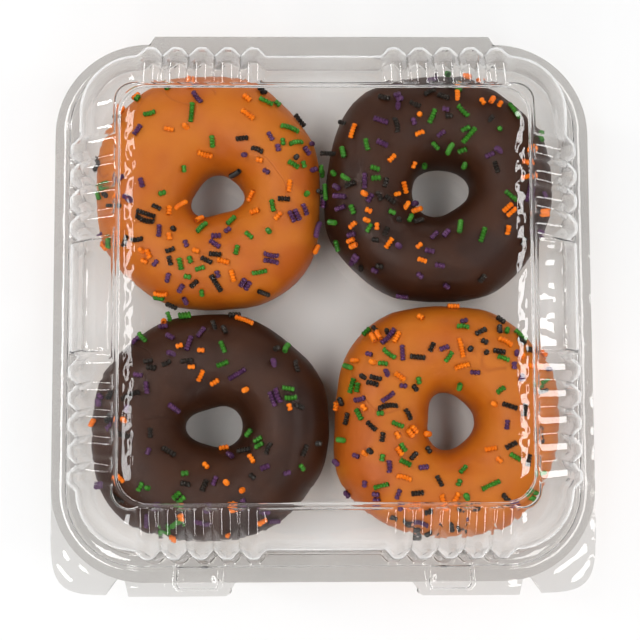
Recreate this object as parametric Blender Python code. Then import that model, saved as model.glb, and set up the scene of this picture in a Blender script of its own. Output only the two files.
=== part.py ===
"""A clear hinged box holding four iced ring doughnuts.

Frame: origin at the middle of the box's foot, +Z up, the latch tabs towards -Y,
the hinge towards +Y. Lengths are worked out in millimetres and written in metres.
"""

import math

import bmesh
import bpy

MM = 0.001

# heights of the closed box
LID_TOP = 72.0          # top of the lid's rim
TRAY_FLANGE = 17.5      # top face of the tray's flange
LID_FLANGE = 18.3       # top face of the lid's flange
SHEET = 0.5             # thickness of the formed plastic

# the flutes, pressed in groups beside each corner
FLUTE_START = 21.2      # from the middle of a side to the first flute
FLUTE_PITCH = 9.65
FLUTES = 5              # in a full group
FLUTES_BY_HINGE = 4     # in the groups of the left and right sides next to the hinge
REACH = FLUTE_START + FLUTES * FLUTE_PITCH      # where the straight side ends

CORNER_STEPS = 5        # facets of a rounded corner

# the flange and what stands out of it
FLANGE_X = 105.5        # half its width
FLANGE_Y = 106.0        # half its depth
FLANGE_CORNER = 36.5    # corner radius of the flange
FLANGE_STEPS = 9        # facets of such a corner
HINGE_HALF = 66.5       # half the length of the hinge strip's outer edge
HINGE_EDGE = 109.3      # the hinge strip's outer edge
LATCH_FROM = 34.0       # a latch tab's ends, measured from the middle
LATCH_TO = 78.2
LATCH_EDGE = 111.2      # front edge of the latch tabs
LATCH_SLANT = (2.6, 1.6)    # slant of a tab's inner and outer end
LATCH_ROUND = 1.6       # cut at a tab's corners
EAR_EDGE = 110.6        # front edge of the tray's corner ears
EAR_CORNER = 13.0       # rounding of an ear
EAR_INNER = 83.5        # where an ear's front edge ends
EAR_ROUND = 0.8         # cut at its inner corner
NOTCH = (79.4, 103.2)   # the notch between an ear and the latch tab

# the raised latch button on each tab
BUTTON_X = 48.5
BUTTON_Y = -104.3
BUTTON_SIZE = (17.5, 8.4, 1.6)
BUTTON_CORNER = 1.6
BUTTON_SUNK = 0.25      # how deep the pad reaches into the sheet under it

# doughnuts: middle x and y, half width, half depth, height, hole half width and depth,
# shift of the hole, how square the outline is and its turn in degrees
DOUGHNUTS = {
    "doughnut_back_left": dict(
        middle=(-44.0, 45.6), half=(46.4, 49.3), height=36.5, hole=(10.3, 9.4),
        hole_shift=(2.5, -1.2), square=0.035, turn=8.0, lobe=0.015, lobe_turn=70.0),
    "doughnut_back_right": dict(
        middle=(45.7, 46.6), half=(45.6, 46.0), height=37.5, hole=(11.2, 9.8),
        hole_shift=(0.2, -1.6), square=0.030, turn=30.0, lobe=0.012, lobe_turn=200.0),
    "doughnut_front_left": dict(
        middle=(-43.8, -46.0), half=(47.0, 44.0), height=36.0, hole=(10.4, 8.2),
        hole_shift=(2.3, -0.1), square=0.020, turn=40.0, lobe=0.014, lobe_turn=330.0),
    "doughnut_front_right": dict(
        middle=(47.5, -43.5), half=(44.4, 46.3), height=37.0, hole=(9.6, 10.7),
        hole_shift=(1.4, -0.6), square=0.030, turn=20.0, lobe=0.012, lobe_turn=120.0),
}
DOUGHNUT_FOOT = 1.7     # underside of the doughnuts
DOUGHNUT_AROUND = 30    # facets around the ring
DOUGHNUT_SECTION = 12   # facets around its section
FULL_SIDES = 0.85       # powers below 1 make the section fuller than an ellipse
FULL_TOP = 0.9
FLAT_SHARE = 0.06       # share of the half height pressed flat underneath

# where neighbours meet: the line between left and right, and between back and front
MEET_X = {"back": 0.2, "front": 3.7}
MEET_Y = {"left": -2.0, "right": 1.2}
PRESS_GAP = 0.25        # half the gap kept between doughnuts that touch
WALL_X = 92.6           # the box's wall keeps the doughnuts inside these
WALL_Y = 93.4


def clear_scene():
    for item in list(bpy.data.objects):
        bpy.data.objects.remove(item, do_unlink=True)


def make_material(name, color, roughness, transmission=0.0):
    material = bpy.data.materials.new(name)
    material.use_nodes = True
    shader = material.node_tree.nodes["Principled BSDF"]
    shader.inputs["Base Color"].default_value = (*color, 1.0)
    shader.inputs["Roughness"].default_value = roughness
    shader.inputs["Transmission Weight"].default_value = transmission
    return material


def make_object(name, mesh_data, material):
    mesh = bpy.data.meshes.new(name)
    mesh_data.to_mesh(mesh)
    mesh_data.free()
    mesh.materials.append(material)
    item = bpy.data.objects.new(name, mesh)
    bpy.context.scene.collection.objects.link(item)
    mesh.shade_smooth()
    mesh.set_sharp_from_angle(angle=math.radians(30))
    return item


# ---- outline of the box: the same stations at every height ----

def flute_group(count):
    """Distances from the middle of a side, with the height of the flute there, 0 to 1."""
    places = []
    for flute in range(count):
        start = FLUTE_START + flute * FLUTE_PITCH
        for third in range(3):
            share = third / 3
            places.append((start + share * FLUTE_PITCH, math.sin(math.pi * share)))
    places.append((FLUTE_START + count * FLUTE_PITCH, 0.0))
    if count < FLUTES:
        places.append((REACH, 0.0))
    return places


def stations():
    """Every station of the outline, anticlockwise from the front side's left end.

    A station is (side, place along it, flute height), or on the corner after that
    side (side, angle in degrees, None).
    """
    full = flute_group(FLUTES)
    short = flute_group(FLUTES_BY_HINGE)
    groups = {0: (full, full), 1: (full, short), 2: (full, full), 3: (short, full)}
    found = []
    for side in range(4):
        before, after = groups[side]
        found += [(side, -place, height) for place, height in reversed(before)]
        found += [(side, place, height) for place, height in after]
        for step in range(1, CORNER_STEPS):
            found.append((side, 90.0 * step / CORNER_STEPS, None))
    return found


def turned(side, along, outward):
    """A point given along and out of a side, in the box's x and y."""
    return {
        0: (along, -outward),
        1: (outward, along),
        2: (-along, outward),
        3: (-outward, -along),
    }[side]


def outline_point(station, half_x, half_y, corner, depth):
    side, place, height = station
    half_along, half_out = (half_x, half_y) if side in (0, 2) else (half_y, half_x)
    if height is None:
        angle = math.radians(place)
        along = half_along - corner + corner * math.sin(angle)
        outward = half_out - corner + corner * math.cos(angle)
    else:
        along = place * (half_along - corner) / REACH
        outward = half_out + depth * height
    return turned(side, along, outward)


def ring(mesh_data, half_x, half_y, corner, z, depth):
    """One level of the outline."""
    points = []
    for station in stations():
        x, y = outline_point(station, half_x, half_y, corner, depth)
        points.append(mesh_data.verts.new((x * MM, y * MM, z * MM)))
    return points


def skin(mesh_data, rings, outline, z):
    """Close the first ring with one face, join each ring to the next, add the flange."""
    mesh_data.faces.new(rings[0])
    for upper, lower in zip(rings, rings[1:]):
        count = len(upper)
        for index in range(count):
            after = (index + 1) % count
            mesh_data.faces.new((upper[index], lower[index], lower[after], upper[after]))
    add_flange(mesh_data, rings[-1], outline, z)
    bmesh.ops.dissolve_limit(
        mesh_data, angle_limit=math.radians(0.5), verts=mesh_data.verts, edges=mesh_data.edges)


def add_flange(mesh_data, root, outline, z):
    """The flat sheet between the wall's last ring and the flange's own outline."""
    rim = [mesh_data.verts.new((x * MM, y * MM, z * MM)) for x, y in outline]
    edges = [mesh_data.edges.new((rim[index - 1], rim[index])) for index in range(len(rim))]
    edges += [mesh_data.edges.get((root[index - 1], root[index])) for index in range(len(root))]
    filled = bmesh.ops.triangle_fill(mesh_data, use_beauty=True, edges=edges)
    sheet = [item for item in filled["geom"] if isinstance(item, bmesh.types.BMFace)]
    bmesh.ops.reverse_faces(mesh_data, faces=[face for face in sheet if face.normal.z < 0])


def thicken(item):
    wall = item.modifiers.new("Sheet", "SOLIDIFY")
    wall.thickness = SHEET * MM
    wall.offset = -1.0
    wall.use_even_offset = True


# ---- the flange's outline, with hinge strip, latch tabs and ears ----

def arc(middle, radius, first, last, steps):
    """Points of an arc, its angles in degrees from +X."""
    angles = [math.radians(first + (last - first) * step / steps) for step in range(steps + 1)]
    return [(middle[0] + radius * math.cos(angle), middle[1] + radius * math.sin(angle))
            for angle in angles]


def back_half():
    """The right side's back corner and the end of the hinge strip."""
    middle = (FLANGE_X - FLANGE_CORNER, FLANGE_Y - FLANGE_CORNER)
    return arc(middle, FLANGE_CORNER, 0, 90, FLANGE_STEPS) + [(HINGE_HALF, HINGE_EDGE)]


def mirrored(right):
    """A whole outline from its right half, given from the front to the back."""
    return right + [(-x, y) for x, y in reversed(right)]


def lid_outline():
    """Two latch tabs in front, round corners, the hinge strip behind."""
    inner, outer = LATCH_FROM + LATCH_SLANT[0], LATCH_TO - LATCH_SLANT[1]
    middle = (FLANGE_X - FLANGE_CORNER, FLANGE_CORNER - FLANGE_Y)
    start = math.degrees(math.asin((LATCH_TO - middle[0]) / FLANGE_CORNER)) - 90
    tab = [
        (LATCH_FROM, -FLANGE_Y),
        (inner - LATCH_ROUND / 3, -LATCH_EDGE + LATCH_ROUND),
        (inner + LATCH_ROUND, -LATCH_EDGE),
        (outer - LATCH_ROUND, -LATCH_EDGE),
        (outer + LATCH_ROUND / 3, -LATCH_EDGE + LATCH_ROUND),
    ]
    return mirrored(tab + arc(middle, FLANGE_CORNER, start, 0, FLANGE_STEPS) + back_half())


def tray_outline():
    """A square ear at each front corner, and the hinge strip behind."""
    middle = (FLANGE_X - EAR_CORNER, EAR_CORNER - EAR_EDGE)
    ear = [
        (NOTCH[0] - 2.0, -FLANGE_Y + 1.0),
        (NOTCH[0], -NOTCH[1]),
        (EAR_INNER - EAR_ROUND, -EAR_EDGE + 1.5 * EAR_ROUND),
        (EAR_INNER + EAR_ROUND, -EAR_EDGE),
    ]
    return mirrored(ear + arc(middle, EAR_CORNER, -90, 0, CORNER_STEPS) + back_half())


# ---- the two halves of the box ----

def build_lid(material):
    """Panel with a raised rim, fluted shoulder and wall, bead and flange."""
    mesh_data = bmesh.new()
    levels = (
        (72.8, 73.6, 9.0, LID_TOP - 0.9, 0.0),       # sunk panel
        (73.6, 74.4, 9.8, LID_TOP, 0.0),             # inside of the rim
        (75.0, 75.8, 11.0, LID_TOP, 0.0),            # outside of the rim
        (76.4, 77.2, 9.0, LID_TOP - 1.8, 0.0),       # neck, where the flutes begin
        (84.6, 86.2, 15.5, 62.0, 2.2),               # bend of the shoulder
        (89.8, 92.4, 21.5, 56.0, 2.9),               # foot of the shoulder
        (95.0, 95.8, 26.0, 22.0, 2.9),               # foot of the wall
        (99.6, 100.0, 30.3, 21.2, 0.0),              # bead
        (100.8, 101.2, 31.5, LID_FLANGE, 0.0),       # root of the flange
    )
    rings = [ring(mesh_data, *level) for level in levels]
    skin(mesh_data, rings, lid_outline(), LID_FLANGE)
    lid = make_object("lid", mesh_data, material)
    thicken(lid)
    for sign in (-1, 1):
        add_button(lid, sign)
    return lid


def add_button(lid, sign):
    """The raised latch button, joined to the lid's tab."""
    mesh_data = bmesh.new()
    bmesh.ops.create_cube(mesh_data, size=1.0)
    width, depth, height = BUTTON_SIZE
    bmesh.ops.scale(mesh_data, vec=(width * MM, depth * MM, height * MM), verts=mesh_data.verts)
    upright = [edge for edge in mesh_data.edges
               if edge.verts[0].co.xy == edge.verts[1].co.xy]
    bmesh.ops.bevel(mesh_data, geom=upright, offset=BUTTON_CORNER * MM, segments=2,
                    profile=0.5, affect="EDGES", material=-1)
    z = LID_FLANGE - BUTTON_SUNK + height / 2
    bmesh.ops.translate(
        mesh_data, vec=(sign * BUTTON_X * MM, BUTTON_Y * MM, z * MM), verts=mesh_data.verts)
    tool = make_object("button_tool_%s" % ("left" if sign < 0 else "right"), mesh_data,
                       lid.data.materials[0])
    tool.hide_render = True
    tool.display_type = "WIRE"
    union = lid.modifiers.new("Button", "BOOLEAN")
    union.operation = "UNION"
    union.object = tool


def build_tray(material):
    """Foot panel, floor, fluted wall and flange, with the ears at the front corners."""
    mesh_data = bmesh.new()
    levels = (
        (71.6, 72.4, 9.5, 0.0, 0.0),                 # foot the box stands on
        (72.6, 73.4, 10.5, 0.8, 0.0),                # floor around the foot
        (86.6, 87.4, 17.5, 0.8, 0.0),                # edge of the floor
        (90.2, 91.0, 21.0, 3.6, 0.7),                # foot of the wall
        (95.2, 95.8, 26.0, TRAY_FLANGE - SHEET, 2.6),    # top of the wall
        (98.8, 99.4, 29.6, TRAY_FLANGE - SHEET, 0.0),    # root of the flange
    )
    rings = [ring(mesh_data, *level) for level in levels]
    skin(mesh_data, rings, tray_outline(), TRAY_FLANGE - SHEET)
    bmesh.ops.reverse_faces(mesh_data, faces=mesh_data.faces)
    tray = make_object("tray", mesh_data, material)
    thicken(tray)
    return tray


# ---- the doughnuts ----

def pressed(name, x, y):
    """Where a doughnut meets its neighbours its side is pressed flat."""
    row, column = name.split("_")[1:]
    meet_x, meet_y = MEET_X[row], MEET_Y[column]
    x = min(x, meet_x - PRESS_GAP) if column == "left" else max(x, meet_x + PRESS_GAP)
    y = max(y, meet_y + PRESS_GAP) if row == "back" else min(y, meet_y - PRESS_GAP)
    x = max(-WALL_X, min(WALL_X, x))
    y = max(-WALL_Y, min(WALL_Y, y))
    return x, y


def fuller(value, power):
    return math.copysign(abs(value) ** power, value)


def doughnut_point(name, spec, around, turn):
    """A point of the ring: around it by one angle, round its section by the other."""
    square = 1 + spec["square"] * math.cos(4 * (around - math.radians(spec["turn"])) + math.pi)
    lobe = 1 + spec["lobe"] * math.cos(3 * around - math.radians(spec["lobe_turn"]))
    wide, deep = [half * square * lobe for half in spec["half"]]
    cos_a, sin_a = math.cos(around), math.sin(around)
    inside = (spec["hole"][0] * cos_a + spec["hole_shift"][0],
              spec["hole"][1] * sin_a + spec["hole_shift"][1])
    outward = 0.5 + 0.5 * fuller(math.cos(turn), FULL_SIDES)
    x = spec["middle"][0] + inside[0] + (wide * cos_a - inside[0]) * outward
    y = spec["middle"][1] + inside[1] + (deep * sin_a - inside[1]) * outward
    rise = 1 + (1 + FLAT_SHARE) * fuller(math.sin(turn), FULL_TOP) - FLAT_SHARE
    z = DOUGHNUT_FOOT + max(0.0, rise) * spec["height"] / 2
    x, y = pressed(name, x, y)
    return x * MM, y * MM, z * MM


def build_doughnut(name, spec, material):
    mesh_data = bmesh.new()
    loops = []
    for step in range(DOUGHNUT_AROUND):
        around = 2 * math.pi * step / DOUGHNUT_AROUND
        loops.append([
            mesh_data.verts.new(doughnut_point(
                name, spec, around, 2 * math.pi * part / DOUGHNUT_SECTION))
            for part in range(DOUGHNUT_SECTION)])
    for step in range(DOUGHNUT_AROUND):
        here, after = loops[step], loops[(step + 1) % DOUGHNUT_AROUND]
        for part in range(DOUGHNUT_SECTION):
            above = (part + 1) % DOUGHNUT_SECTION
            mesh_data.faces.new((here[part], after[part], after[above], here[above]))
    bmesh.ops.recalc_face_normals(mesh_data, faces=mesh_data.faces)
    return make_object(name, mesh_data, material)


def main():
    clear_scene()
    clear = make_material("clear_plastic", (0.95, 0.95, 0.94), 0.05, transmission=1.0)
    orange = make_material("orange_icing", (0.60, 0.20, 0.03), 0.45)
    chocolate = make_material("chocolate_icing", (0.045, 0.020, 0.012), 0.45)
    build_tray(clear)
    build_lid(clear)
    for name, spec in DOUGHNUTS.items():
        orange_ones = ("doughnut_back_left", "doughnut_front_right")
        build_doughnut(name, spec, orange if name in orange_ones else chocolate)


main()
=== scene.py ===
import math
import random

import bmesh
import bpy
from mathutils import Matrix, Vector, noise
from mathutils.bvhtree import BVHTree


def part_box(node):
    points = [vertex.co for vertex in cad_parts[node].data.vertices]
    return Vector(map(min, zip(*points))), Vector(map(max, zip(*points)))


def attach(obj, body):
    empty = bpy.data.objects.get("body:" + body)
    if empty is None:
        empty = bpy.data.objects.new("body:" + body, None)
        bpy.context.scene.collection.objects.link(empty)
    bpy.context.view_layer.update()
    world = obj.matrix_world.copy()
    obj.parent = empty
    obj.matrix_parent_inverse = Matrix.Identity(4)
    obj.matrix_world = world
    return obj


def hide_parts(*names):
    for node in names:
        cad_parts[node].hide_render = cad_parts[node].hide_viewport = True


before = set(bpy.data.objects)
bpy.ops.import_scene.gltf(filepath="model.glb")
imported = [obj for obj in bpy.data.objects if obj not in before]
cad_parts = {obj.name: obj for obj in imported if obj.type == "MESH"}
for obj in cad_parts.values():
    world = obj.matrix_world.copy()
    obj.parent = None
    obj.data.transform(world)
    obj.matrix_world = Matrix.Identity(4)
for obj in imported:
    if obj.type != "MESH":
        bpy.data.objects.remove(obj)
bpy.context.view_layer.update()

mm = 0.001
lidLow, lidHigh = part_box("lid")
trayLow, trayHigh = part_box("tray")

# what both halves of the box share, in millimetres
boxForm = {
    "sheet": 0.5,               # thickness of the pressed plastic
    "fluteStart": 21.65,        # from the middle of a side to its first flute
    "flutePitch": 9.7,
    "flutes": 5,                # flutes in a group
    "flutesByHinge": 4,         # groups of the left and right sides next to the hinge
    "ribFlat": 0.9,             # half of a rib's flat top
    "ribRound": 2.2,            # radius between its top and its sides
    "ribSlope": 1.02,           # how steeply its sides fall
    "middleSteps": 9,           # from the middle of the front and back sides to their flutes
    "pocketSteps": 24,          # the same on the left and right sides
    "shoulderStep": 2.0,        # rows on the slopes are about this far apart
    "shoulderRows": 4,          # and no more than this between two of the outline's levels
    "cornerSteps": 22,
    "flangeX": lidHigh.x / mm,
    "flangeY": 106.0,
    "flangeCorner": 36.5,
    "hingeHalf": 66.5,
    "hingeEdge": lidHigh.y / mm,
    "hingeEnds": 2.6,           # its ends slant over this much more of the edge
    "hingeSlant": 1.5,
    "hingeRows": 4,
    "lidFlangeRows": 4,
    "trayFlangeRows": 5,
}

# distances of a flute's points from its rib's middle, closest where it bends
flutePlaces = (-3.9, -3.0, -2.3, -1.8, -1.3, -0.9,
               0.0, 0.9, 1.3, 1.8, 2.3, 3.0, 3.9, 4.85)


def smooth(value):
    value = min(1.0, max(0.0, value))
    return value * value * (3 - 2 * value)


def lerp(first, last, share):
    return first + (last - first) * share


def wobble(place, size, seed=0.0):
    # soft noise between about -1 and 1, place in metres and size in millimetres
    return noise.noise(place / (size * mm) + Vector((seed, 2.3 * seed, -seed)))


def addPiece(name, shape, material, sharp=40.0):
    mesh = bpy.data.meshes.new(name)
    shape.to_mesh(mesh)
    shape.free()
    mesh.materials.append(material)
    piece = bpy.data.objects.new(name, mesh)
    bpy.context.scene.collection.objects.link(piece)
    mesh.shade_smooth()
    mesh.set_sharp_from_angle(angle=math.radians(sharp))
    return piece


def settle(piece, sharp):
    # the modifiers' result becomes the piece's own mesh
    evaluated = piece.evaluated_get(bpy.context.evaluated_depsgraph_get())
    mesh = bpy.data.meshes.new_from_object(evaluated)
    piece.modifiers.clear()
    piece.data = mesh
    mesh.shade_smooth()
    mesh.set_sharp_from_angle(angle=math.radians(sharp))


def newMaterial(name):
    material = bpy.data.materials.new(name)
    material.use_nodes = True
    tree = material.node_tree
    return material, tree, tree.nodes["Principled BSDF"]


def node(tree, kind, **settings):
    made = tree.nodes.new("ShaderNode" + kind)
    for key, value in settings.items():
        setattr(made, key, value)
    return made


def ramp(tree, stops, fac):
    made = node(tree, "ValToRGB")
    band = made.color_ramp
    while len(band.elements) < len(stops):
        band.elements.new(0.5)
    for element, (place, color) in zip(band.elements, stops):
        element.position = place
        element.color = (*color, 1.0)
    tree.links.new(fac, made.inputs["Fac"])
    return made.outputs["Color"]


def makeGroup(name, inputs, outputs):
    group = bpy.data.node_groups.new(name, "ShaderNodeTree")
    for label, kind, value in inputs:
        socket = group.interface.new_socket(name=label, in_out="INPUT", socket_type=kind)
        if value is not None:
            socket.default_value = value
    for label, kind in outputs:
        group.interface.new_socket(name=label, in_out="OUTPUT", socket_type=kind)
    return group, group.nodes.new("NodeGroupInput"), group.nodes.new("NodeGroupOutput")


def noiseNode(tree, vector, scale, detail=2.0, rough=0.5):
    made = node(tree, "TexNoise")
    made.inputs["Detail"].default_value = detail
    made.inputs["Roughness"].default_value = rough
    tree.links.new(vector, made.inputs["Vector"])
    if isinstance(scale, float):
        made.inputs["Scale"].default_value = scale
    else:
        tree.links.new(scale, made.inputs["Scale"])
    return made.outputs["Fac"]


def mathNode(tree, operation, first, second):
    made = node(tree, "Math", operation=operation)
    for socket, value in zip(made.inputs, (first, second)):
        if isinstance(value, (int, float)):
            socket.default_value = value
        else:
            tree.links.new(value, socket)
    return made.outputs[0]


def mottleGroup():
    # broad and fine unevenness: a mask for colours and a height for bumps
    inputs = [("Vector", "NodeSocketVector", None), ("Broad Scale", "NodeSocketFloat", 40.0),
              ("Fine Scale", "NodeSocketFloat", 400.0), ("Fine Share", "NodeSocketFloat", 0.3)]
    outputs = [("Mask", "NodeSocketFloat"), ("Height", "NodeSocketFloat")]
    group, given, result = makeGroup("mottle", inputs, outputs)
    broad = noiseNode(group, given.outputs["Vector"], given.outputs["Broad Scale"], 3.0)
    fine = noiseNode(group, given.outputs["Vector"], given.outputs["Fine Scale"], 2.0, 0.6)
    weighted = mathNode(group, "MULTIPLY", fine, given.outputs["Fine Share"])
    height = mathNode(group, "ADD", broad, weighted)
    group.links.new(broad, result.inputs["Mask"])
    group.links.new(height, result.inputs["Height"])
    return group


mottle = mottleGroup()


def creaseGroup():
    # thin wandering lines where icing has folded a little, 1 on a line and 0 elsewhere
    inputs = [("Vector", "NodeSocketVector", None), ("Scale", "NodeSocketFloat", 20.0),
              ("Width", "NodeSocketFloat", 0.01)]
    group, given, result = makeGroup("crease", inputs, [("Line", "NodeSocketFloat")])
    field = noiseNode(group, given.outputs["Vector"], given.outputs["Scale"], 1.5)
    away = mathNode(group, "ABSOLUTE", mathNode(group, "SUBTRACT", field, 0.5), 0.0)
    share = mathNode(group, "DIVIDE", away, given.outputs["Width"])
    line = mathNode(group, "MAXIMUM", mathNode(group, "SUBTRACT", 1.0, share), 0.0)
    # only here and there
    where = noiseNode(group, given.outputs["Vector"], 31.0, 0.0)
    shown = mathNode(group, "GREATER_THAN", where, 0.52)
    group.links.new(mathNode(group, "MULTIPLY", line, shown), result.inputs["Line"])
    return group


crease = creaseGroup()


def addMottle(tree, broad, fine, share):
    place = node(tree, "TexCoord").outputs["Object"]
    used = node(tree, "Group")
    used.node_tree = mottle
    used.inputs["Broad Scale"].default_value = broad
    used.inputs["Fine Scale"].default_value = fine
    used.inputs["Fine Share"].default_value = share
    tree.links.new(place, used.inputs["Vector"])
    return used.outputs["Mask"], used.outputs["Height"]


def addCrease(tree, scale, width):
    used = node(tree, "Group")
    used.node_tree = crease
    used.inputs["Scale"].default_value = scale
    used.inputs["Width"].default_value = width
    tree.links.new(node(tree, "TexCoord").outputs["Object"], used.inputs["Vector"])
    return used.outputs["Line"]


def mixColor(tree, share, first, second):
    made = node(tree, "Mix", data_type="RGBA")
    tree.links.new(share, made.inputs["Factor"])
    tree.links.new(first, made.inputs["A"])
    made.inputs["B"].default_value = (*second, 1.0)
    return made.outputs["Result"]


def addBump(tree, shader, height, strength, distance):
    bump = node(tree, "Bump")
    bump.inputs["Strength"].default_value = strength
    bump.inputs["Distance"].default_value = distance
    tree.links.new(height, bump.inputs["Height"])
    tree.links.new(bump.outputs["Normal"], shader.inputs["Normal"])


def mapRange(tree, value, low, high):
    made = node(tree, "MapRange")
    made.inputs["From Min"].default_value = 0.3
    made.inputs["From Max"].default_value = 0.7
    made.inputs["To Min"].default_value = low
    made.inputs["To Max"].default_value = high
    tree.links.new(value, made.inputs["Value"])
    return made.outputs["Result"]


plasticLook = {
    "clear": (0.955, 0.950, 0.944),
    "rim": (0.800, 0.790, 0.778),   # greyer low down, at the flange and the walls: painted shade for the darker floor seen through there
    "rimShadeHeights": (0.08, 0.22, 0.50, 0.80),     # shares of the box's height where the tint turns
    "ior": 1.5,
    "mottle": (75.0, 420.0, 0.06),  # scale of its ripples and its grain, and the grain's share
    "bump": (0.5, 0.0001),          # strength and depth
    "rough": (0.006, 0.028),
    "shade": (0.986, 0.983, 0.979, 1.0),    # what a lamp's light keeps at each face it crosses
}


def makePlastic():
    material, tree, shader = newMaterial("clear_plastic")
    split = node(tree, "SeparateXYZ")
    tree.links.new(node(tree, "TexCoord").outputs["Object"], split.inputs["Vector"])
    share = mathNode(tree, "DIVIDE", split.outputs["Z"], lidHigh.z)
    # the sheet's tint greys between the bottom and the top, at the flange and walls: painted shade
    colors = [plasticLook[part] for part in ("clear", "rim", "rim", "clear")]
    tint = ramp(tree, tuple(zip(plasticLook["rimShadeHeights"], colors)), share)
    tree.links.new(tint, shader.inputs["Base Color"])
    shader.inputs["IOR"].default_value = plasticLook["ior"]
    shader.inputs["Transmission Weight"].default_value = 1.0
    mask, height = addMottle(tree, *plasticLook["mottle"])
    tree.links.new(mapRange(tree, mask, *plasticLook["rough"]), shader.inputs["Roughness"])
    addBump(tree, shader, height, *plasticLook["bump"])
    # lamps and soft light reach what is inside
    surface = shader.outputs["BSDF"]
    path = node(tree, "LightPath")
    for ray in ("Is Shadow Ray", "Is Diffuse Ray"):
        through = node(tree, "BsdfTransparent")
        through.inputs["Color"].default_value = plasticLook["shade"]
        mixer = node(tree, "MixShader")
        tree.links.new(path.outputs[ray], mixer.inputs["Fac"])
        tree.links.new(surface, mixer.inputs[1])
        tree.links.new(through.outputs["BSDF"], mixer.inputs[2])
        surface = mixer.outputs["Shader"]
    tree.links.new(surface, tree.nodes["Material Output"].inputs["Surface"])
    return material


# both icings: scales of their broad and fine mottle and the fine one's share, then their creases
icingMottle = (55.0, 900.0, 0.16)
icingCrease = {
    "scale": 20.0,
    "width": 0.006,
    "tint": 0.6,                # how much of the crease's painted shade shows
    "depth": 0.25,
}

icingLooks = {
    "orange": {
        "stops": ((0.30, (0.445, 0.094, 0.0015)), (0.52, (0.510, 0.130, 0.0030)),
                  (0.75, (0.550, 0.155, 0.0065))),
        "thinAndShade": (0.41, 0.078, 0.0008),      # painted shade: darker, more saturated icing where it falls into shadow
        "crease": (0.36, 0.074, 0.0010),
        "rough": (0.44, 0.58),
        "specular": 0.30,
        "bump": (0.55, 0.0006),
    },
    "chocolate": {
        "stops": ((0.30, (0.019, 0.0044, 0.0007)), (0.52, (0.032, 0.0080, 0.0013)),
                  (0.75, (0.043, 0.0118, 0.0024))),
        "thinAndShade": (0.018, 0.0040, 0.0008),
        "crease": (0.020, 0.0048, 0.0010),
        "rough": (0.40, 0.56),
        "specular": 0.20,
        "bump": (0.55, 0.0006),
    },
}


def makeIcing(flavour):
    look = icingLooks[flavour]
    material, tree, shader = newMaterial(flavour + "_icing")
    mask, height = addMottle(tree, *icingMottle)
    line = addCrease(tree, icingCrease["scale"], icingCrease["width"])
    # the icing colour is darkened by painted shade, low on its sides and in patches
    thinAndShade = node(tree, "Attribute", attribute_type="GEOMETRY", attribute_name="thinAndShade").outputs["Fac"]
    color = mixColor(tree, thinAndShade, ramp(tree, look["stops"], mask), look["thinAndShade"])
    # crease lines are painted darker: painted shade, beside the bump that sinks them
    creaseShade = mathNode(tree, "MULTIPLY", line, icingCrease["tint"])
    color = mixColor(tree, creaseShade, color, look["crease"])
    tree.links.new(color, shader.inputs["Base Color"])
    tree.links.new(mapRange(tree, mask, *look["rough"]), shader.inputs["Roughness"])
    shader.inputs["Specular IOR Level"].default_value = look["specular"]
    sunk = mathNode(tree, "MULTIPLY", line, icingCrease["depth"])
    addBump(tree, shader, mathNode(tree, "SUBTRACT", height, sunk), *look["bump"])
    return material


doughLook = {
    "stops": ((0.30, (0.36, 0.150, 0.040)), (0.55, (0.56, 0.300, 0.105)),
              (0.80, (0.70, 0.460, 0.210))),
    "mottle": (90.0, 1100.0, 0.5),
    "rough": (0.6, 0.8),
    "bump": (0.7, 0.0012),
}


def makeDough():
    material, tree, shader = newMaterial("dough")
    mask, height = addMottle(tree, *doughLook["mottle"])
    tree.links.new(ramp(tree, doughLook["stops"], mask), shader.inputs["Base Color"])
    tree.links.new(mapRange(tree, mask, *doughLook["rough"]), shader.inputs["Roughness"])
    addBump(tree, shader, height, *doughLook["bump"])
    return material


sprinkleColors = {
    "orange": ((0.78, 0.150, 0.0010), (0.96, 0.240, 0.0030)),
    "green": ((0.022, 0.130, 0.0070), (0.050, 0.235, 0.0180)),
    "purple": ((0.050, 0.014, 0.052), (0.105, 0.034, 0.110)),
    "black": ((0.009, 0.0065, 0.0045), (0.020, 0.0145, 0.0105)),
}

sugarLook = {
    "mottle": (260.0, 2600.0, 0.4),
    "rough": (0.40, 0.55),
    "specular": 0.25,
    "bump": (0.5, 0.0002),
}


def makeSugar(color):
    material, tree, shader = newMaterial("sugar_" + color)
    dark, light = sprinkleColors[color]
    mask, height = addMottle(tree, *sugarLook["mottle"])
    tree.links.new(ramp(tree, ((0.3, dark), (0.7, light)), mask), shader.inputs["Base Color"])
    tree.links.new(mapRange(tree, mask, *sugarLook["rough"]), shader.inputs["Roughness"])
    shader.inputs["Specular IOR Level"].default_value = sugarLook["specular"]
    addBump(tree, shader, height, *sugarLook["bump"])
    return material


def fluteMiddles(count):
    return [boxForm["fluteStart"] + (number + 0.5) * boxForm["flutePitch"]
            for number in range(count)]


def halfSide(count, steps):
    # places from the middle of a side outwards, each with its distance from a rib's middle
    start = boxForm["fluteStart"]
    found = [(start * (1 - (1 - step / steps) ** 1.5), None) for step in range(1, steps + 1)]
    for middle in fluteMiddles(count):
        found += [(middle + away, away) for away in flutePlaces]
    if count < boxForm["flutes"]:
        end = start + boxForm["flutes"] * boxForm["flutePitch"]
        found += [(lerp(found[-1][0], end, step / 6), None) for step in range(1, 7)]
    return found


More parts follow.
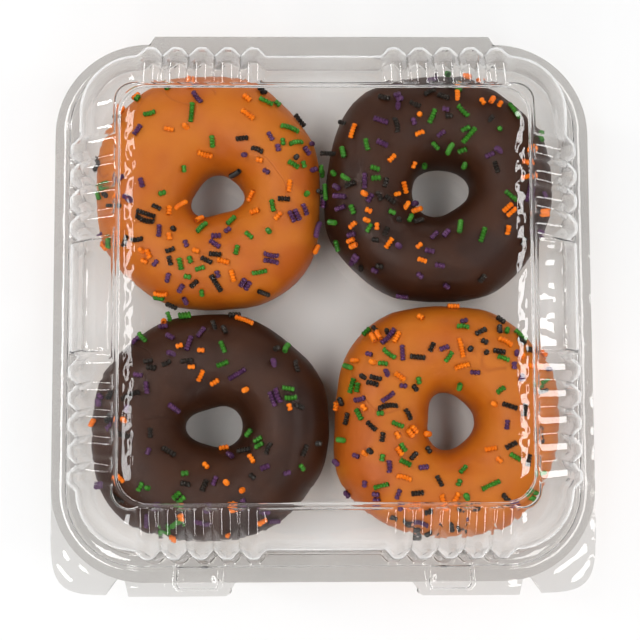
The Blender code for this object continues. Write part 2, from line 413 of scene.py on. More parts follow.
def outlineStations():
    # anticlockwise from the left end of the front side: (side, place or angle, away, isCorner)
    plain = halfSide(boxForm["flutes"], boxForm["middleSteps"])
    full = halfSide(boxForm["flutes"], boxForm["pocketSteps"])
    short = halfSide(boxForm["flutesByHinge"], boxForm["pocketSteps"])
    groups = {0: (plain, plain), 1: (full, short), 2: (plain, plain), 3: (short, full)}
    found = []
    for side, (before, after) in groups.items():
        found += [(side, -place, away, False) for place, away in reversed(before)]
        found.append((side, 0.0, None, False))
        found += [(side, place, away, False) for place, away in after]
        found += [(side, 90.0 * step / boxForm["cornerSteps"], None, True)
                  for step in range(1, boxForm["cornerSteps"])]
    return found


stations = outlineStations()
straightEnd = boxForm["fluteStart"] + boxForm["flutes"] * boxForm["flutePitch"]


def ribHeight(away, depth):
    # a rib's height over the valley: flat top, rounded edges, straight sides down to zero
    flat, radius, slope = boxForm["ribFlat"], boxForm["ribRound"], boxForm["ribSlope"]
    past = max(0.0, abs(away) - flat)
    turn = radius * math.sin(math.atan(slope))
    if past < turn:
        drop = radius - math.sqrt(radius * radius - past * past)
    else:
        drop = radius - math.sqrt(radius * radius - turn * turn) + slope * (past - turn)
    return max(0.0, depth - drop)


def sidePad(side, place, level):
    # the left and right sides stand out a little between their flutes
    if side in (0, 2):
        return 0.0
    inside = smooth((boxForm["fluteStart"] - 0.2 - abs(place)) / 1.4)
    return level["pad"] * inside


def outlinePlace(number, level):
    side, place, away, isCorner = stations[number]
    halfAlong, halfOut = (level["x"], level["y"]) if side in (0, 2) else (level["y"], level["x"])
    corner = level["corner"]
    if isCorner:
        angle = math.radians(place)
        along = halfAlong - corner + corner * math.sin(angle)
        out = halfOut - corner + corner * math.cos(angle)
    else:
        along = place * (halfAlong - corner) / straightEnd
        out = halfOut + sidePad(side, place, level)
        if away is not None:
            out += ribHeight(away, level["flute"])
    point = {0: (along, -out), 1: (out, along), 2: (-along, out), 3: (-out, -along)}[side]
    return Vector((point[0] * mm, point[1] * mm, level["z"] * mm))


levelParts = ("x", "y", "corner", "z", "flute", "pad")


def roundedLevels(keys):
    # each key is x, y, corner, z, flute, pad, then how far before and after it the shape rounds
    found = []
    for number, key in enumerate(keys):
        here, reach = key[:6], key[6]
        if number in (0, len(keys) - 1) or reach == 0:
            found.append(here)
            continue
        ends = []
        for other in (keys[number - 1], keys[number + 1]):
            run = math.hypot(other[0] - here[0], other[3] - here[3])
            share = min(0.48, reach / run)
            ends.append([lerp(a, b, share) for a, b in zip(here, other[:6])])
        steps = 3 if reach > 0.6 else 2
        for step in range(steps + 1):
            t = step / steps
            found.append([(1 - t) ** 2 * a + 2 * t * (1 - t) * b + t * t * c
                          for a, b, c in zip(ends[0], here, ends[1])])
    return [dict(zip(levelParts, level)) for level in withRows(found)]


def withRows(found):
    # the shoulder's long slope gets rows of its own, for its pockets and its unevenness
    rows = [found[0]]
    flute = levelParts.index("flute")
    for before, after in zip(found, found[1:]):
        steps = 1
        if before[flute] > 0 and after[flute] > 0:
            run = math.hypot(after[0] - before[0], after[3] - before[3])
            steps = max(1, min(boxForm["shoulderRows"], round(run / boxForm["shoulderStep"])))
        rows += [[lerp(a, b, (step + 1) / steps) for a, b in zip(before, after)]
                 for step in range(steps)]
    return rows


def startShell(level):
    # the first loop: a circle whose points are carried to the outline
    shape = bmesh.new()
    order = shape.verts.layers.int.new("station")
    made = bmesh.ops.create_circle(shape, cap_ends=False, segments=len(stations), radius=1.0)
    for number, vert in enumerate(made["verts"]):
        vert[order] = number
        vert.co = outlinePlace(number, level)
    return shape, list(shape.edges)


def growShell(shape, rim, level):
    order = shape.verts.layers.int["station"]
    made = bmesh.ops.extrude_edge_only(shape, edges=rim)["geom"]
    fresh = {item for item in made if isinstance(item, bmesh.types.BMVert)}
    for vert in fresh:
        vert.co = outlinePlace(vert[order], level)
    return [item for item in made
            if isinstance(item, bmesh.types.BMEdge) and set(item.verts) <= fresh]


def growEdges(shape, edges, move):
    # pulls some of the rim's edges out by one row and returns the new outer edges
    made = bmesh.ops.extrude_edge_only(shape, edges=edges)["geom"]
    fresh = {item for item in made if isinstance(item, bmesh.types.BMVert)}
    for vert in fresh:
        move(vert)
    return [item for item in made
            if isinstance(item, bmesh.types.BMEdge) and set(item.verts) <= fresh]


def edgesWithin(edges, test):
    return [edge for edge in edges if all(test(vert.co / mm) for vert in edge.verts)]


def capFirstLoop(shape):
    # fills the first loop: the middle of the lid's panel or of the tray's bottom
    order = shape.verts.layers.int["station"]
    shape.verts.ensure_lookup_table()
    first = sorted(shape.verts[:len(stations)], key=lambda vert: vert[order])
    edges = [shape.edges.get((first[number - 1], first[number])) for number in range(len(first))]
    return bmesh.ops.contextual_create(shape, geom=edges)["faces"][0]


def pointFacesOut(shape, panel, wanted):
    bmesh.ops.remove_doubles(shape, verts=shape.verts, dist=0.03 * mm)
    bmesh.ops.recalc_face_normals(shape, faces=shape.faces)
    if panel.normal.z * wanted < 0:
        bmesh.ops.reverse_faces(shape, faces=shape.faces)


def makeSheet(name, shape, material):
    piece = addPiece(name, shape, material)
    wall = piece.modifiers.new("Sheet", "SOLIDIFY")
    wall.thickness = boxForm["sheet"] * mm
    wall.offset = -1.0
    settle(piece, 50.0)
    return piece


def pullHinge(shape, rim):
    half, edge, rows = boxForm["hingeHalf"], boxForm["hingeEdge"], boxForm["hingeRows"]
    start = edgesWithin(rim, lambda p: p.y > 100 and abs(p.x) <= half + boxForm["hingeEnds"])
    for row in range(rows):
        share = 1.0 / (rows - row)

        def move(vert):
            reach = min(edge, edge - boxForm["hingeSlant"] * (abs(vert.co.x / mm) - half))
            vert.co.y = lerp(vert.co.y, reach * mm, share)
        start = growEdges(shape, start, move)


latchForm = {
    "from": 34.0,
    "to": 78.2,
    "edge": -lidLow.y / mm,     # front edge of the tabs
    "slantIn": 2.6,
    "slantOut": 1.6,
    "round": 1.6,
    "rows": 11,
    "button": (48.5, 104.3, 8.6, 4.6),      # middle x and y, half width, half depth
    "buttonHeight": 1.3,
    "hollow": (48.5, 104.9, 6.0, 1.0),      # the dip in the button's top
    "hollowDepth": 0.55,
    "bar": (67.6, 106.4, 6.2, 1.7),         # the long raised bar beside it
    "barHeight": 0.3,
}


def latchEnds(row):
    # a tab narrows a little towards its front edge
    done = row / latchForm["rows"]
    inner = latchForm["from"] + latchForm["slantIn"] * done
    return inner, latchForm["to"] - latchForm["slantOut"] * done


def pullLatches(shape, rim):
    form = latchForm
    for sign in (-1, 1):
        start = edgesWithin(
            rim, lambda p: p.y < -100 and form["from"] - 0.4 <= p.x * sign <= form["to"] + 0.4)
        for row in range(form["rows"]):
            share = 1.0 / (form["rows"] - row)
            innerBefore, outerBefore = latchEnds(row)
            inner, outer = latchEnds(row + 1)

            def move(vert):
                x = abs(vert.co.x) / mm
                along = min(1.0, max(0.0, (x - innerBefore) / (outerBefore - innerBefore)))
                x = lerp(inner, outer, along)
                short = max(0.0, form["round"] - min(x - inner, outer - x))
                cut = form["round"] - math.sqrt(max(0.0, form["round"] ** 2 - short ** 2))
                target = -(form["edge"] - cut)
                vert.co.x = sign * x * mm
                vert.co.y = lerp(vert.co.y, target * mm, share)
            start = growEdges(shape, start, move)


def padHeight(x, y, pad, height, edge=0.7):
    # a raised pad with rounded corners: middle x and y, half width and half depth
    round_ = min(pad[2], pad[3]) * 0.55
    dx = max(0.0, abs(x - pad[0]) - (pad[2] - round_))
    dy = max(0.0, abs(y - pad[1]) - (pad[3] - round_))
    return height * smooth((round_ - math.hypot(dx, dy)) / edge + 0.5)


def lidRelief(point):
    x, y = abs(point.x) / mm, -point.y / mm
    button = padHeight(x, y, latchForm["button"], latchForm["buttonHeight"])
    hollow = padHeight(x, y, latchForm["hollow"], latchForm["hollowDepth"], 0.9)
    return button - hollow + padHeight(x, y, latchForm["bar"], latchForm["barHeight"])


# lid: x, y, corner, z, flute, pad, rounding
lidTop = lidHigh.z / mm
lidFlange = lidLow.z / mm + boxForm["sheet"]
lidKeys = (
    (50.0, 50.8, 2.0, lidTop - 1.2, 0, 0, 0),
    (69.3, 70.1, 6.0, lidTop - 1.2, 0, 0, 0.6),
    (70.2, 71.0, 6.8, lidTop - 0.94, 0, 0, 0),
    (71.1, 71.9, 7.6, lidTop - 0.68, 0, 0, 0),
    (71.9, 72.7, 8.3, lidTop - 0.45, 0, 0, 0),
    (72.7, 73.5, 9.0, lidTop - 0.22, 0, 0, 0.4),
    (73.7, 74.5, 10.0, lidTop, 0, 0, 0.4),
    (75.0, 75.8, 10.6, lidTop, 0, 0, 0.5),
    (76.1, 76.9, 10.6, lidTop - 1.5, 0, 0, 0.4),
    (77.0, 77.8, 6.7, lidTop - 2.2, 0.3, 0, 0.3),
    (77.3, 78.1, 7.0, lidTop - 3.6, 2.3, 0.3, 0.4),
    (85.0, 84.8, 14.7, lidTop - 8.4, 3.2, 3.0, 1.6),
    (90.6, 91.4, 20.3, lidTop - 15.5, 3.2, 3.0, 3.0),
    (92.2, 93.1, 21.9, lidTop - 21.0, 3.2, 2.8, 1.6),
    (94.0, 94.8, 23.7, lidFlange + 4.2, 3.2, 1.6, 1.2),
    (99.4, 99.8, 29.1, lidFlange + 3.2, 0, 0, 0.6),
    (100.8, 101.2, 30.5, lidFlange, 0, 0, 0.6),
    (boxForm["flangeX"], boxForm["flangeY"], boxForm["flangeCorner"], lidFlange, 0, 0, 0),
)

# the sunk field on the shoulder of the left and right sides
pocketForm = {
    "from": 80.2,
    "to": 87.2,
    "half": 20.2,
    "depth": 0.9,
    "edge": 1.2,
}

# how uneven the sheet is: size of a wave and its height, in mm
waves = {
    "size": 3.0,
    "flange": 0.06,
    "pocket": 0.34,
    "border": 0.46,             # the slopes beside the flat panel, left and right
    "rest": 0.05,
    "flat": (69.5, 70.3),       # how far out the panel and the bottom stay flat
    "borderX": (69.6, 72.5),
    "borderY": 63.0,
    "borderDrop": 1.5,
    "flangeRise": 6.0,
}


def pocketSink(x, y):
    inside = min(x - pocketForm["from"], pocketForm["to"] - x, pocketForm["half"] - abs(y))
    return pocketForm["depth"] * smooth(inside / pocketForm["edge"] + 0.5)


def waveHeight(place):
    # the pressed sheet's own unevenness, which breaks up its reflections
    x, y, z = abs(place.x) / mm, abs(place.y) / mm, place.z / mm
    flatX, flatY = waves["flat"]
    borderFrom, borderTo = waves["borderX"]
    if x < flatX and y < flatY:
        return 0.0
    if z < lidFlange + waves["flangeRise"]:
        most = waves["flange"]
    elif pocketSink(x, y) > 0.3:
        most = waves["pocket"]
    elif z > lidTop - waves["borderDrop"] and borderFrom < x < borderTo and y < waves["borderY"]:
        most = waves["border"]
    else:
        most = waves["rest"]
    return most * wobble(place, waves["size"], 4.0)


def growAll(keys, flangeRows):
    levels = roundedLevels(keys)
    shape, rim = startShell(levels[0])
    for number, level in enumerate(levels[1:]):
        last = number == len(levels) - 2
        rows = flangeRows if last else 1
        before = levels[number]
        for row in range(rows):
            share = (row + 1) / rows
            between = {key: lerp(before[key], level[key], share) for key in levelParts}
            rim = growShell(shape, rim, between)
    return shape, rim


def makeLid(material):
    shape, rim = growAll(lidKeys, boxForm["lidFlangeRows"])
    panel = capFirstLoop(shape)
    pullHinge(shape, rim)
    pullLatches(shape, rim)
    for vert in shape.verts:
        sink = pocketSink(abs(vert.co.x) / mm, vert.co.y / mm)
        vert.co.z += (lidRelief(vert.co) - sink + waveHeight(vert.co)) * mm
    pointFacesOut(shape, panel, 1)
    return makeSheet("lid_clear", shape, material)


trayFlange = trayHigh.z / mm - boxForm["sheet"]
trayKeys = (
    (50.0, 50.8, 2.0, 0.0, 0, 0, 0),
    (71.4, 72.2, 9.5, 0.0, 0, 0, 0.4),
    (72.6, 73.4, 10.5, 0.8, 0, 0, 0.4),
    (86.6, 87.4, 17.5, 0.8, 0.4, 0, 1.6),
    (90.2, 91.0, 21.0, 3.8, 1.0, 0.3, 1.4),
    (94.9, 95.5, 24.6, trayFlange, 2.9, 1.2, 0.8),
    (98.8, 99.4, 29.6, trayFlange, 0, 0, 0.5),
    (boxForm["flangeX"], boxForm["flangeY"], boxForm["flangeCorner"], trayFlange, 0, 0, 0),
)

earForm = {
    "edge": -trayLow.y / mm,
    "inner": 84.0,              # where the ear's front edge starts
    "spread": 1.7,              # how far the corner's front half is drawn out towards the notch
    "squareness": 3.0,          # 1 would leave the corner's rounding as it is
    "notch": 79.4,
    "rows": 12,
    "longBar": ((87.2, 102.8), (99.0, 94.6), 1.2),     # two ends and half its width
    "shortBar": ((95.0, 105.2), (100.8, 100.4), 0.9),
    "barHeight": 0.11,
}


def earOutline(x, y):
    # where a point of the round corner goes on the squarer ear
    centreX = boxForm["flangeX"] - boxForm["flangeCorner"]
    centreY = boxForm["flangeY"] - boxForm["flangeCorner"]
    angle = math.atan2(y - centreY, x - centreX)
    power = 1 / earForm["squareness"]
    if angle > math.pi / 4:
        # the ear's front edge runs straight to the notch
        reach = (earForm["inner"] - centreX) / boxForm["flangeCorner"]
        last = math.acos(reach ** earForm["squareness"])
        angle = min(last, lerp(math.pi / 4, angle, earForm["spread"]))
    reachX = centreX + boxForm["flangeCorner"] * abs(math.cos(angle)) ** power
    reachY = centreY + (earForm["edge"] - centreY) * abs(math.sin(angle)) ** power
    return min(reachX, boxForm["flangeX"]), min(reachY, earForm["edge"])


def pullEars(shape, rim):
    order = shape.verts.layers.int["station"]
    for sign in (-1, 1):
        start = edgesWithin(rim, lambda p: p.y < -70 and p.x * sign > earForm["notch"] - 0.3)
        goals = {}
        for edge in start:
            for vert in edge.verts:
                x, y = abs(vert.co.x) / mm, -vert.co.y / mm
                goalX, goalY = earOutline(x, y)
                if x < earForm["notch"] + 1.2:
                    goalX, goalY = earForm["notch"] + 0.6, y + 0.3
                goals[vert[order]] = (x, y, goalX, goalY)
        for row in range(earForm["rows"]):
            share = (row + 1) / earForm["rows"]

            def move(vert):
                x, y, goalX, goalY = goals[vert[order]]
                vert.co.x = sign * lerp(x, goalX, share) * mm
                vert.co.y = -lerp(y, goalY, share) * mm
            start = growEdges(shape, start, move)


def barRise(x, y, bar):
    (x0, y0), (x1, y1), half = bar
    run = Vector((x1 - x0, y1 - y0))
    share = min(1.0, max(0.0, Vector((x - x0, y - y0)).dot(run) / run.length_squared))
    away = math.hypot(x - x0 - run.x * share, y - y0 - run.y * share)
    return earForm["barHeight"] * smooth((half - away) / 0.7 + 0.5)


def trayRelief(point):
    x, y = abs(point.x) / mm, -point.y / mm
    return max(barRise(x, y, earForm["longBar"]), barRise(x, y, earForm["shortBar"]))


def makeTray(material):
    shape, rim = growAll(trayKeys, boxForm["trayFlangeRows"])
    panel = capFirstLoop(shape)
    pullHinge(shape, rim)
    pullEars(shape, rim)
    for vert in shape.verts:
        uneven = waveHeight(vert.co) if vert.co.z / mm > 2 else 0.0
        vert.co.z += (trayRelief(vert.co) + uneven) * mm
    pointFacesOut(shape, panel, -1)
    return makeSheet("tray_clear", shape, material)


ringForm = {
    "around": 168,
    "section": 56,
    "foot": 1.7,                # underside above the surface the box stands on
    "fullSides": 0.85,          # below 1 the section is fuller than an ellipse
    "fullTop": 0.9,
    "flat": 0.06,               # share of the half height pressed flat underneath
    "pressPower": 13.0,         # how sharply the flattened sides meet
    "icing": 0.9,               # thickness of the icing
    "edge": 0.15,               # its thickness at its edge
    "overlap": 0.5,             # how far it reaches into the dough
    "line": 8.6,                # how low it comes, with the height and size of the waves in its edge
    "lineWaves": (2.6, 14.0),
    "lumps": ((0.75, 26.0), (0.28, 9.0)),   # height and size of each kind of lump
    "lumpsFrom": (6.0, 12.0),   # height where they start, and how much higher they are full
    "shadeFrom": (20.0, 10.0),   # the same for the painted shade that darkens the icing low on its sides, going down
}

# sides: direction in degrees and distance in mm of each side pressed flat
# and x, y and radius in mm of the patches where painted shade darkens the icing
doughnuts = {
    "back_left": {
        "icing": "orange", "middle": (-44.0, 45.6), "round": 52.0, "height": 36.5,
        "sides": ((0, 43.4), (42, 45.2), (90, 47.3), (138, 49.6), (180, 45.4), (225, 47.2),
                  (270, 47.0), (318, 51.0)),
        "hole": (-41.5, 44.3, 10.2, 9.0), "holeLobes": (0.10, 215, 0.10, 100), "seed": 3.1,
        "thinAndShade": ((-9, 14, 10), (-4, 50, 8)),
    },
    "back_right": {
        "icing": "chocolate", "middle": (45.7, 46.6), "round": 48.6, "height": 37.5,
        "sides": ((0, 46.0), (50, 46.8), (90, 47.0), (172, 46.0), (225, 48.6), (270, 45.2),
                  (322, 45.8)),
        "hole": (46.0, 45.9, 11.2, 9.8), "holeLobes": (0.06, 40, 0.05, 10), "seed": 7.4,
        "thinAndShade": ((8, 32, 9), (60, 20, 8)),
    },
    "front_left": {
        "icing": "chocolate", "middle": (-43.8, -46.0), "round": 49.2, "height": 36.0,
        "sides": ((0, 47.6), (50, 45.6), (90, 44.2), (130, 45.8), (180, 47.6), (270, 44.9),
                  (315, 47.0)),
        "hole": (-41.5, -46.1, 10.6, 8.2), "holeLobes": (0.05, 10, 0.07, 60), "seed": 11.8,
        "thinAndShade": ((-8, -40, 8), (-30, -80, 9)),
    },
    "front_right": {
        "icing": "orange", "middle": (47.5, -43.5), "round": 49.8, "height": 37.0,
        "sides": ((0, 44.6), (45, 46.2), (90, 44.9), (135, 48.8), (176, 43.8), (270, 47.0),
                  (325, 46.8), (232, 49.0)),
        "hole": (48.9, -44.1, 9.7, 10.7), "holeLobes": (0.04, 90, 0.08, 120), "seed": 17.2,
        "thinAndShade": ((8, -48, 13), (16, -70, 9)),
    },
}


def ringReach(look, angle):
    # the pressed outline: a round one cut softly by the flattened sides
    power = ringForm["pressPower"]
    total = look["round"] ** -power
    for direction, distance in look["sides"]:
        facing = math.cos(angle - math.radians(direction))
        if facing > 0:
            total += (facing / distance) ** power
    return total ** (-1 / power)


def holeReach(look, angle):
    width, depth = look["hole"][2:]
    two, twoTurn, three, threeTurn = look["holeLobes"]
    reach = 1 / math.hypot(math.cos(angle) / width, math.sin(angle) / depth)
    reach *= 1 + two * math.cos(2 * (angle - math.radians(twoTurn)))
    return reach * (1 + three * math.cos(3 * (angle - math.radians(threeTurn))))


def fuller(value, power):
    return math.copysign(abs(value) ** power, value)


def ringPlace(look, around, turn):
    middleX, middleY = look["middle"]
    holeX, holeY = look["hole"][:2]
    reach = ringReach(look, around)
    inner = holeReach(look, around)
    insideX, insideY = holeX + inner * math.cos(around), holeY + inner * math.sin(around)
    outsideX, outsideY = middleX + reach * math.cos(around), middleY + reach * math.sin(around)
    share = 0.5 + 0.5 * fuller(math.cos(turn), ringForm["fullSides"])
    x, y = lerp(insideX, outsideX, share), lerp(insideY, outsideY, share)
    flat = ringForm["flat"]
    rise = max(0.0, 1 + (1 + flat) * fuller(math.sin(turn), ringForm["fullTop"]) - flat)
    z = ringForm["foot"] + rise * look["height"] / 2
    return Vector((x * mm, y * mm, z * mm))


def makeRing(look):
    # a torus spun from a circle, then carried to the doughnut's own shape
    shape = bmesh.new()
    turnedBy = Matrix.Translation((1.0, 0, 0)) @ Matrix.Rotation(math.pi / 2, 4, "X")
    made = bmesh.ops.create_circle(
        shape, cap_ends=False, segments=ringForm["section"], radius=0.4, matrix=turnedBy)
    bmesh.ops.spin(
        shape, geom=list(shape.edges), cent=(0, 0, 0), axis=(0, 0, 1), dvec=(0, 0, 0),
        angle=2 * math.pi, steps=ringForm["around"], use_merge=True, use_duplicate=False)
    for vert in shape.verts:
        around = math.atan2(vert.co.y, vert.co.x)
        turn = math.atan2(vert.co.z, math.hypot(vert.co.x, vert.co.y) - 1.0)
        vert.co = ringPlace(look, around, turn)
    bmesh.ops.recalc_face_normals(shape, faces=shape.faces)
    start, reach = ringForm["lumpsFrom"]
    for vert in shape.verts:
        share = smooth((vert.co.z / mm - start) / reach)
        lump = sum(height * wobble(vert.co, size, look["seed"]) for height, size in ringForm["lumps"])
        vert.co += vert.normal * lump * share * mm
    return shape


def icingLine(place, look):
    # how low the icing comes, in mm, uneven like a dipped edge
    height, size = ringForm["lineWaves"]
    return ringForm["line"] + height * wobble(Vector((place.x, place.y, 0)), size, look["seed"] + 5.0)


def markPaintedShade(piece, look):
    # a value on each point: painted shade, near 1 low on the sides and in the listed patches
    values = piece.data.attributes.new("thinAndShade", "FLOAT", "POINT").data
    start, reach = ringForm["shadeFrom"]
    for vert, value in zip(piece.data.vertices, values):
        x, y, z = vert.co / mm
        share = 0.75 * smooth((start - z) / reach)
        for middleX, middleY, radius in look["thinAndShade"]:
            away = math.hypot(x - middleX, y - middleY) + 4.5 * wobble(vert.co, 9.0, look["seed"])
            share = max(share, 0.8 * smooth((radius - away) / 5.0 + 0.5))
        value.value = share


def makeDoughnut(name, look, icing, dough):
    body = makeRing(look)
    body.normal_update()
    for vert in body.verts:
        depth = ringForm["icing"] * smooth((vert.co.z / mm - icingLine(vert.co, look) + 3) / 3)
        vert.co -= vert.normal * depth * mm
    under = addPiece("dough_" + name, body, dough, 180.0)

    skin = makeRing(look)
    low = [vert for vert in skin.verts if vert.co.z / mm < icingLine(vert.co, look)]
    bmesh.ops.delete(skin, geom=low, context="VERTS")
    skin.normal_update()
    for vert in skin.verts:
        # the icing gets thinner towards its lower edge
        over = vert.co.z / mm - icingLine(vert.co, look)
        thinAndShade = 1 - smooth(over / 2.4)
        vert.co -= vert.normal * (ringForm["icing"] - ringForm["edge"]) * thinAndShade * mm
    cover = addPiece("icing_" + name, skin, icing, 180.0)
    thick = cover.modifiers.new("Thickness", "SOLIDIFY")
    thick.thickness = (ringForm["icing"] + ringForm["overlap"]) * mm
    thick.offset = -1.0
    settle(cover, 180.0)
    markPaintedShade(cover, look)
    return under, cover


sprinkleForm = {
    "radius": 1.13,             # mm
    "sides": 7,
    "crimp": 0.58,              # from a ridge to the next dip
    "lengths": (2.7, 3.7, 4.7, 5.9, 7.6),
    "weights": (0.22, 0.32, 0.25, 0.14, 0.07),
    "ridge": 0.40,              # depth of the crimps, as a share of the radius
    "tip": 0.70,                # radius of its ends, as a share
    "bend": 0.9,
    "sunk": 0.12,
    "standing": 0.10,           # share of rods that stand on end in the icing
    "lowest": 20.0,             # height over the floor below which none lie
    "apart": 1.95,
    "stuck": 0.09,              # share of rods with another stuck alongside
}

# groups: direction in degrees, distance in mm, spread in mm and share of the whole
sprinkleSpread = {
    "back_left": {"count": 118, "groups": ((272, 33, 8, .26), (222, 31, 7, .14), (10, 30, 9, .14))},
    "back_right": {"count": 122, "groups": ((95, 30, 11, .26), (195, 31, 10, .30), (5, 33, 9, .10))},
    "front_left": {"count": 98, "groups": ((110, 32, 11, .14), (300, 27, 8, .12), (170, 33, 9, .16))},
    "front_right": {"count": 132, "groups": ((165, 29, 9, .26), (225, 28, 9, .22), (58, 33, 8, .16))},
}


def makeSprinkle(length):
    # one crimped sugar rod lying along X, its ends a little rounded
    form = sprinkleForm
    shape = bmesh.new()
    bmesh.ops.create_circle(shape, cap_ends=True, segments=form["sides"],
                            radius=form["radius"] * form["tip"] * mm)
    bmesh.ops.rotate(shape, verts=shape.verts, cent=(0, 0, 0),
                     matrix=Matrix.Rotation(math.pi / 2, 3, "Y"))
    bmesh.ops.translate(shape, verts=shape.verts, vec=(-length * mm / 2, 0, 0))
    shape.faces.ensure_lookup_table()
    front = shape.faces[0]
    count = 2 * round(length / form["crimp"] / 2)
    for row in range(1, count + 1):
        made = bmesh.ops.extrude_face_region(shape, geom=[front])["geom"]
        bmesh.ops.delete(shape, geom=[front], context="FACES_ONLY")
        front = [item for item in made if isinstance(item, bmesh.types.BMFace)][0]
        if row == count:
            radius = form["tip"]
        else:
            radius = 1.0 if row % 2 else 1.0 - form["ridge"]
        centre = Vector(((row / count - 0.5) * length * mm, 0, 0))
        for vert in front.verts:
            flat = Vector((0, vert.co.y, vert.co.z)).normalized()
            vert.co = centre + flat * radius * form["radius"] * mm
    bmesh.ops.recalc_face_normals(shape, faces=shape.faces)
    mesh = bpy.data.meshes.new("sprinkle_pattern")
    shape.to_mesh(mesh)
    shape.free()
    return mesh


def apartEnough(place, along, half, others):
    # no rod lies through another: the distance between some points of both
    for otherPlace, otherAlong, otherHalf in others:
        if (place - otherPlace).length > (half + otherHalf + 2.0 * mm):
            continue
        for step in (-1, -0.5, 0, 0.5, 1):
            point = place + along * half * step - otherPlace
            share = max(-otherHalf, min(otherHalf, point.dot(otherAlong)))
            if (point - otherAlong * share).length < sprinkleForm["apart"] * mm:
                return False
    return True


def pickSpot(rng, look, spread):
    # a place on a doughnut's top in the box's x and y, in mm
    chance = rng.random()
    for direction, distance, wide, share in spread["groups"]:
        if chance < share:
            angle = math.radians(direction)
            x = look["middle"][0] + distance * math.cos(angle) + rng.gauss(0, wide)
            y = look["middle"][1] + distance * math.sin(angle) + rng.gauss(0, wide)
            return x, y
        chance -= share
    angle = rng.uniform(0, 2 * math.pi)
    inner, outer = holeReach(look, angle) + 3.0, ringReach(look, angle) - 0.4
    distance = math.sqrt(lerp(inner ** 2, outer ** 2, rng.random()))
    return (look["middle"][0] + distance * math.cos(angle),
            look["middle"][1] + distance * math.sin(angle))


def addRod(shape, pattern, place, along, normal, half, rng):
    # one rod into its colour's mesh, turned, bent and a little fatter or thinner
    side = along.cross(normal)
    if side.length < 1e-6:
        side = along.orthogonal()
    side.normalize()
    turned = Matrix((along, side, side.cross(along).normalized())).transposed().to_4x4()
    roll = Matrix.Rotation(rng.uniform(0, 2 * math.pi), 4, "X")
    bent = rng.uniform(-1, 1) ** 3 * sprinkleForm["bend"] * (half / mm) ** 2 / 12.0
    fat = rng.uniform(0.92, 1.08)
    start = len(shape.verts)
    shape.from_mesh(pattern)
    shape.verts.ensure_lookup_table()
    for vert in shape.verts[start:]:
        share = vert.co.x / half
        vert.co.y *= fat
        vert.co.z *= fat
        local = roll @ vert.co
        local.y += bent * (share * share - 0.4) * mm
        vert.co = turned @ local + place


def scatterSprinkles(covers, patterns):
    rng = random.Random(4127)
    shapes = {color: bmesh.new() for color in sprinkleColors}
    for name, look in doughnuts.items():
        tree = BVHTree.FromObject(covers[name], bpy.context.evaluated_depsgraph_get())
        spread = sprinkleSpread[name]
        placed, tries = [], 0
        while len(placed) < spread["count"] and tries < 6000:
            tries += 1
            x, y = pickSpot(rng, look, spread)
            hit, normal, _, _ = tree.ray_cast(Vector((x * mm, y * mm, 0.1)), Vector((0, 0, -1)))
            if hit is None or hit.z < sprinkleForm["lowest"] * mm or normal.z < 0.05:
                continue
            kind = rng.choices(range(len(patterns)), sprinkleForm["weights"])[0]
            half = sprinkleForm["lengths"][kind] * mm / 2
            along = normal.orthogonal().normalized()
            along.rotate(Matrix.Rotation(rng.uniform(0, math.pi), 3, normal))
            lift = sprinkleForm["radius"] * (1 - sprinkleForm["sunk"])
            standing = rng.random() < sprinkleForm["standing"]
            if standing:
                along = (normal + along * rng.uniform(0.1, 0.5)).normalized()
                lift = half / mm * 0.55
            place = hit + normal * lift * mm
            if not apartEnough(place, along, half, placed):
                continue
            placed.append((place, along, half))
            color = rng.choice(list(sprinkleColors))
            addRod(shapes[color], patterns[kind], place, along, normal, half, rng)
            if standing or rng.random() > sprinkleForm["stuck"]:
                continue
            # another of its colour stuck to its side
            away = normal.cross(along).normalized() * 2.06 * sprinkleForm["radius"] * mm
            beside = place + away + along * rng.uniform(-0.3, 0.3) * half
            if apartEnough(beside, along, half, placed[:-1]):
                placed.append((beside, along, half))
                addRod(shapes[color], patterns[kind], beside, along, normal, half, rng)
    return shapes


print("materials")
clearPlastic = makePlastic()
icings = {flavour: makeIcing(flavour) for flavour in icingLooks}
dough = makeDough()

print("tray and lid")
tray = makeTray(clearPlastic)
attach(tray, "tray")
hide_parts("tray")
lid = makeLid(clearPlastic)
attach(lid, "lid")
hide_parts("lid")

print("doughnuts")
covers = {}
for name, look in doughnuts.items():
    under, cover = makeDoughnut(name, look, icings[look["icing"]], dough)
    covers[name] = cover
    for piece, slot in ((under, "dough"), (cover, look["icing"] + "_icing")):
        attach(piece, "tray")
        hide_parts("doughnut_" + name)

print("sprinkles")
patterns = [makeSprinkle(length) for length in sprinkleForm["lengths"]]
for color, shape in scatterSprinkles(covers, patterns).items():
    piece = addPiece("sprinkles_" + color, shape, makeSugar(color), 60.0)
    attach(piece, "tray")


stageLook = {
    "floor": (0.84, 0.84, 0.84),
    "world": (0.80, 0.81, 0.82),
    "worldAround": 0.72,        # strength at the horizon
    "worldAbove": 0.03,
    "worldReach": 0.75,         # how high it has darkened, as the sine of the angle
}


def makeFloor():
    shape = bmesh.new()
    bmesh.ops.create_grid(shape, x_segments=1, y_segments=1, size=1.0)
    bmesh.ops.translate(shape, verts=shape.verts, vec=(0, 0, -0.0002))
    material, tree, shader = newMaterial("pale_floor")
    mask, height = addMottle(tree, 3.0, 60.0, 0.2)
    low, high = (tuple(value * share for value in stageLook["floor"]) for share in (0.99, 1.0))
    tree.links.new(ramp(tree, ((0.3, low), (0.7, high)), mask), shader.inputs["Base Color"])
    shader.inputs["Roughness"].default_value = 0.9
    shader.inputs["Specular IOR Level"].default_value = 0.1
    floor = addPiece("floor", shape, material)


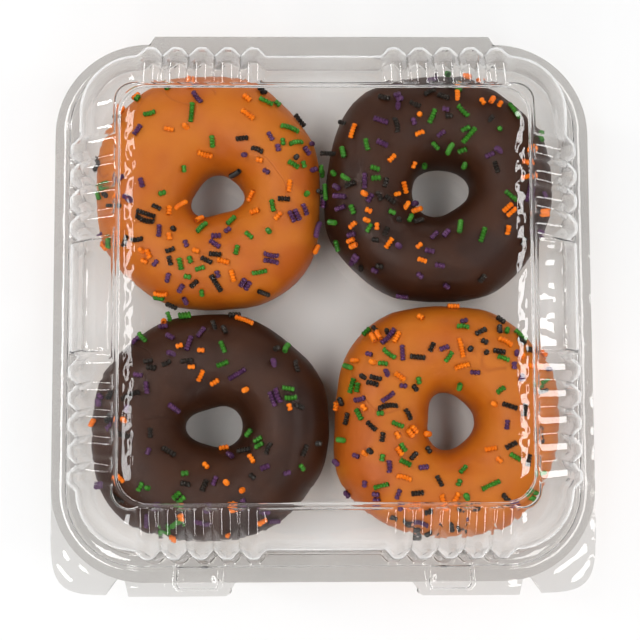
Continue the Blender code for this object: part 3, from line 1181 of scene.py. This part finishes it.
def makeWorld():
    # a pale surround that darkens overhead
    world = bpy.data.worlds.new("studio")
    world.use_nodes = True
    tree = world.node_tree
    back = tree.nodes["Background"]
    back.inputs["Color"].default_value = (*stageLook["world"], 1.0)
    split = node(tree, "SeparateXYZ")
    tree.links.new(node(tree, "TexCoord").outputs["Generated"], split.inputs["Vector"])
    fade = node(tree, "MapRange")
    fade.inputs["From Max"].default_value = stageLook["worldReach"]
    fade.inputs["To Min"].default_value = stageLook["worldAround"]
    fade.inputs["To Max"].default_value = stageLook["worldAbove"]
    tree.links.new(split.outputs["Z"], fade.inputs["Value"])
    tree.links.new(fade.outputs["Result"], back.inputs["Strength"])
    bpy.context.scene.world = world


# each lamp: place, size across and up, power
lamps = {
    "topLeft": ((-0.40, -0.04, 0.95), (1.10, 0.22), 7.3),
    "topRight": ((0.40, -0.04, 0.95), (1.10, 0.22), 4.7),
    "frontLeft": ((-0.25, -0.88, 0.47), (0.10, 0.32), 0.85),
    "frontRight": ((0.28, -0.88, 0.47), (0.10, 0.32), 0.95),
    "backLeft": ((-0.24, 0.92, 0.27), (0.10, 0.28), 0.70),
    "backRight": ((0.29, 0.92, 0.27), (0.10, 0.28), 0.60),
    "rightWall": ((0.83, -0.01, 0.34), (0.17, 0.30), 1.4),
    "leftWall": ((-0.83, 0.30, 0.38), (0.07, 0.26), 1.1),
}


def makeLamps():
    target = Vector((0, 0, 0.04))
    for name, (place, size, power) in lamps.items():
        data = bpy.data.lights.new(name, "AREA")
        data.shape = "RECTANGLE"
        data.size, data.size_y = size
        data.energy = power
        lamp = bpy.data.objects.new(name, data)
        bpy.context.scene.collection.objects.link(lamp)
        lamp.location = place
        lamp.rotation_euler = (target - Vector(place)).to_track_quat("-Z", "Y").to_euler()


cameraLook = {
    "aim": (0.0, 0.0, 0.018),
    "distance": 0.671,
    "tilt": 6.5,                # degrees from straight down, towards the front
    "sideways": -0.013,
    "roll": -0.25,
    "lens": 96.2,
    "shift": (-0.0047, -0.0175),
}


def makeCamera():
    data = bpy.data.cameras.new("camera")
    data.lens = cameraLook["lens"]
    data.shift_x, data.shift_y = cameraLook["shift"]
    camera = bpy.data.objects.new("camera", data)
    bpy.context.scene.collection.objects.link(camera)
    aim = Vector(cameraLook["aim"])
    tilt = math.radians(cameraLook["tilt"])
    away = Vector((0, -math.sin(tilt), math.cos(tilt))) * cameraLook["distance"]
    camera.location = aim + away + Vector((cameraLook["sideways"], 0, 0))
    # its own axes: back from the aim, to the right, and up towards the hinge
    back = (camera.location - aim).normalized()
    right = Vector((0, 1, 0)).cross(back).normalized()
    axes = Matrix((right, back.cross(right), back)).transposed()
    roll = Matrix.Rotation(math.radians(cameraLook["roll"]), 3, "Z")
    camera.rotation_euler = (axes @ roll).to_euler()
    bpy.context.scene.camera = camera


print("stage")
makeFloor()
makeWorld()
makeLamps()
makeCamera()
cycles = bpy.context.scene.cycles
cycles.max_bounces = 24
cycles.transmission_bounces = 20
cycles.transparent_max_bounces = 24
cycles.glossy_bounces = 8
cycles.diffuse_bounces = 3
cycles.caustics_reflective = False
cycles.caustics_refractive = False
cycles.sample_clamp_indirect = 4.0
bpy.context.scene.view_settings.view_transform = "Standard"
